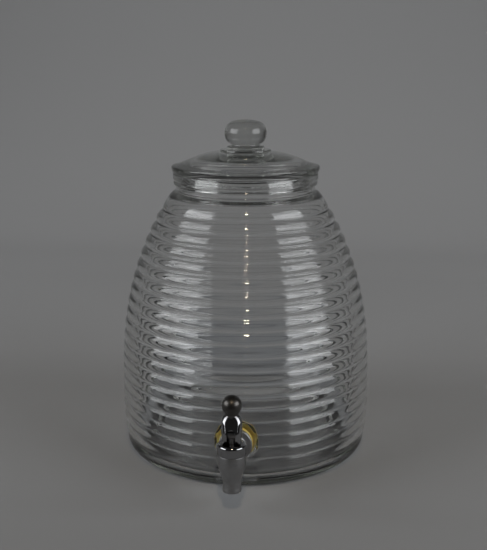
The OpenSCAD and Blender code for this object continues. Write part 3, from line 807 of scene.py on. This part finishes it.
for wide, deep, z in levels:
    ball = math.sqrt(max(0, ball_r ** 2 - (z - ball_z) ** 2))
    neck = (lever_neck_r ** merging + ball ** merging) ** (1 / merging) if z < ball_z else ball
    power = 2 / (2 + squareness * wide)
    waist = 1 - pinch * max(0, (pinch_z - z) / pinch_h) ** 1.5
    row = []
    for k in range(sides):
        c, s = math.cos(2 * math.pi * k / sides), math.sin(2 * math.pi * k / sides)
        depth = neck + ((fork_back if s > 0 else fork_front) - neck) * deep
        x = (neck + (fork_half - neck) * wide) * waist * math.copysign(abs(c) ** power, c)
        y = depth * math.copysign(abs(s) ** power, s)
        row.append(shape.verts.new(Vector((x, tap_y + y, pin_z + z)) / 1000))
    rows.append(row)
shape.faces.new(rows[0])
rows.append([shape.verts.new((0, tap_y / 1000, (pin_z + ball_z + ball_r) / 1000))])
for loop in quads(rows):
    shape.faces.new(loop)
lever = made("tap_lever", shape)


def side_cut(name, outline, half):
    """A bar across the tap with a side outline of (y, z) points from the lever's pin."""
    bar = bmesh.new()
    ends = []
    for x in (-half, half):
        ends.append([bar.verts.new(Vector((x, tap_y + y, pin_z + z)) / 1000) for y, z in outline])
        bar.faces.new(ends[-1])
    for loop in quads(ends):
        bar.faces.new(loop)
    return made(name, bar)


pin_h, valve_lift = 6.5, 3.2
slot_r, slot_half = 4.1, 3.5
foot_front, foot_back, far = -16, 14, 20
cam_arm = valve_lift / (math.pi / 2)
foot = [(foot_back, -pin_h)]
for a in quarter(24):
    h = pin_h + cam_arm * a
    foot.append((-h * math.sin(a) - cam_arm * math.cos(a), cam_arm * math.sin(a) - h * math.cos(a)))
foot += [(foot_front, foot[-1][1]), (foot_front, -far), (foot_back, -far)]
worked(lever, side_cut("foot_cut", foot, far), "DIFFERENCE")
slot = [(-far, slot_r)] + [(slot_r * math.sin(a), slot_r * math.cos(a)) for a in quarter(12)]
slot += [(slot_r, -far), (-far, -far)]
worked(lever, side_cut("slot_cut", slot, slot_half), "DIFFERENCE")
arch = turned("arch", rod(slot_half, -far, -2), "Y", (0, tap_y, pin_z + slot_r), 48)
worked(lever, arch, "DIFFERENCE")
softened(lever, 0.45)
fitted(lever, chrome, "bright_chrome", "lever", "tap_lever")


# Lever pin: a short pin cut from drawn steel bar and pressed through the fork. It turns in the
# stem's eye.
pin_half = 8.4
pin = turned("lever_pin", rod(pin_r, -pin_half, pin_half, 0.3), "X", (0, tap_y, pin_z), 48)
fitted(pin, steel, "steel", "lever", "lever_pin")


# Studio: a neutral grey sweep under and behind the jar, a large soft box on each side, a small
# warm lamp above the camera, and a dim room. The sweep's grey is graded as painted light, and its
# floor in front and to the sides is painted near black as the room's shade. A faint painted glow
# on the floor under the jar's back edge stands for the light that the glass gathers there, and
# what no lamp reaches is seen plain grey.
def plainly_seen(wire):
    """1 for a ray from the camera, straight or through clear glass, and 0 for light and reflections."""
    ray = wire.node("ShaderNodeLightPath")
    turned_back = ray["Glossy Depth"] + ray["Diffuse Depth"]
    through = ray["Is Transmission Ray"] * ray.maths("LESS_THAN", turned_back, 0.5)
    return ray.maths("MAXIMUM", ray["Is Camera Ray"], through)


black, far_grey = (0, 0, 0, 1), (0.13, 0.13, 0.13, 1)
dim, painted_room_shade = (0.025, 0.025, 0.025, 1), (0.015, 0.015, 0.015, 1)
# Painted light: the sweep's grey rises back along the floor to the foot of the bow, where the lamps' light
# falls off, and eases down again up the bow and the wall.
falloff_greys = [
    (0, 0.3), (0.06, 0.35), (0.13, 0.42), (0.2, 0.44), (0.37, 0.61), (0.47, 0.73), (0.57, 0.68), (0.75, 0.65),
    (1, 0.57),
]
cool_falloff_greys = [(at, (0.98 * grey, grey, 1.03 * grey)) for at, grey in falloff_greys]
sweep, place, shade = new_finish("grey_sweep")
spot = place.node("ShaderNodeSeparateXYZ", {0: place})
away = (0.2 + spot["Y"] + spot["Z"] + 0.06 * place.noise(scale=1.5, detail=3)) / 2.5
aside = spot["X"].maths("ABSOLUTE", spot["X"])
# Painted shade: outside this lit part, in front and to the sides, the floor is painted near black, so that
# reflections show it as the dark room.
lit = (spot["Y"] - 0.5 * aside).step(-0.6, -0.3)
behind_boxes = place.node("ShaderNodeLightPath")["Is Camera Ray"] * aside.step(1, 1.7)
# A painted pool of light: the floor under the jar's back edge glows, standing for the light that the glass
# gathers there.
under_jar = ((spot["X"] ** 2 + spot["Y"] ** 2) ** 0.5).step(0.122, 0.108)
painted_glow = under_jar * ((0.6 * spot["X"]) ** 2 + (spot["Y"] - 0.095) ** 2).step(0.003, 0.0004)
plain = lit.maths("MAXIMUM", plainly_seen(place) * (1 - lit + 0.85 * painted_glow), behind_boxes)
shade(
    Base_Color=lit.blend(painted_room_shade, away.node("ShaderNodeValToRGB", {"Fac": away}, stops=cool_falloff_greys)),
    Roughness=0.9,
    Emission_Color=plain.blend(black, far_grey),
    Emission_Strength=1.0,
)
sweep.cycles.emission_sampling = "NONE"
half_width, front_y, bow_y, bow_r, top_z = 3.5, -3, 0.9, 0.9, 3.2
bow = [(bow_y + bow_r * math.sin(a), bow_r - bow_r * math.cos(a)) for a in quarter(24)]
strip = bmesh.new()
edges = []
for y, z in [(front_y, 0)] + bow + [(bow_y + bow_r, top_z)]:
    edges.append([strip.verts.new((x, y, z)) for x in (-half_width, half_width)])
for low, high in zip(edges, edges[1:]):
    strip.faces.new([low[0], low[1], high[1], high[0]])
mesh = bpy.data.meshes.new("sweep")
strip.to_mesh(mesh)
strip.free()
mesh.shade_smooth()
mesh.materials.append(sweep)
backdrop = bpy.data.objects.new("sweep", mesh)
bpy.context.collection.objects.link(backdrop)


def lamp(name, place, aim, width, height, brightness, colour):
    """A soft box of a given face, whose brightness is that of white paper times a number."""
    light = bpy.data.lights.new(name, "AREA")
    light.shape = "RECTANGLE"
    light.size = width
    light.size_y = height
    light.energy = brightness * math.pi * width * height
    light.color = colour
    holder = bpy.data.objects.new(name, light)
    holder.location = place
    holder.rotation_euler = (Vector(aim) - Vector(place)).to_track_quat("-Z", "Y").to_euler()
    bpy.context.collection.objects.link(holder)


daylight, lamplight = (0.96, 0.98, 1), (1, 0.82, 0.6)
for name, x in (("left_box", -1.31), ("right_box", 1.31)):
    lamp(name, (x, -0.6, 0.68), (0, 0, 0.62), width=1.2, height=0.88, brightness=3.35, colour=daylight)
lamp("warm_lamp", (0.12, -1.3, 1.5), (0, 0, 0.2), width=0.1, height=0.1, brightness=150, colour=lamplight)
world = bpy.data.worlds.new("room")
world.use_nodes = True
room = Wire(world.node_tree)
room.feed(world.node_tree.nodes["Background"], {"Color": plainly_seen(room).blend(dim, far_grey)})
bpy.context.scene.world = world
bpy.context.scene.view_settings.view_transform = "Standard"
bpy.context.scene.cycles.max_bounces = 18
bpy.context.scene.cycles.glossy_bounces = 12
bpy.context.scene.cycles.transmission_bounces = 18


# Camera: in front of the jar, a little to its right, looking slightly down. Its place and lens
# were fitted to the jar's outline, rib rows and lid in the photo, and pixels are the photo's.
high_pixels, focal_pixels, shift_pixels = 550, 902, -2.1
distance, eye_z = 0.8496, 0.3653
azimuth, look_down = math.radians(4), math.radians(13.11)
camera = bpy.data.cameras.new("camera")
camera.sensor_fit = "VERTICAL"
camera.sensor_height = 36
camera.lens = focal_pixels / high_pixels * camera.sensor_height
camera.shift_x = shift_pixels / high_pixels
viewer = bpy.data.objects.new("camera", camera)
viewer.location = (distance * math.sin(azimuth), -distance * math.cos(azimuth), eye_z)
viewer.rotation_euler = (math.pi / 2 - look_down, 0, azimuth)
bpy.context.collection.objects.link(viewer)
bpy.context.scene.camera = viewer
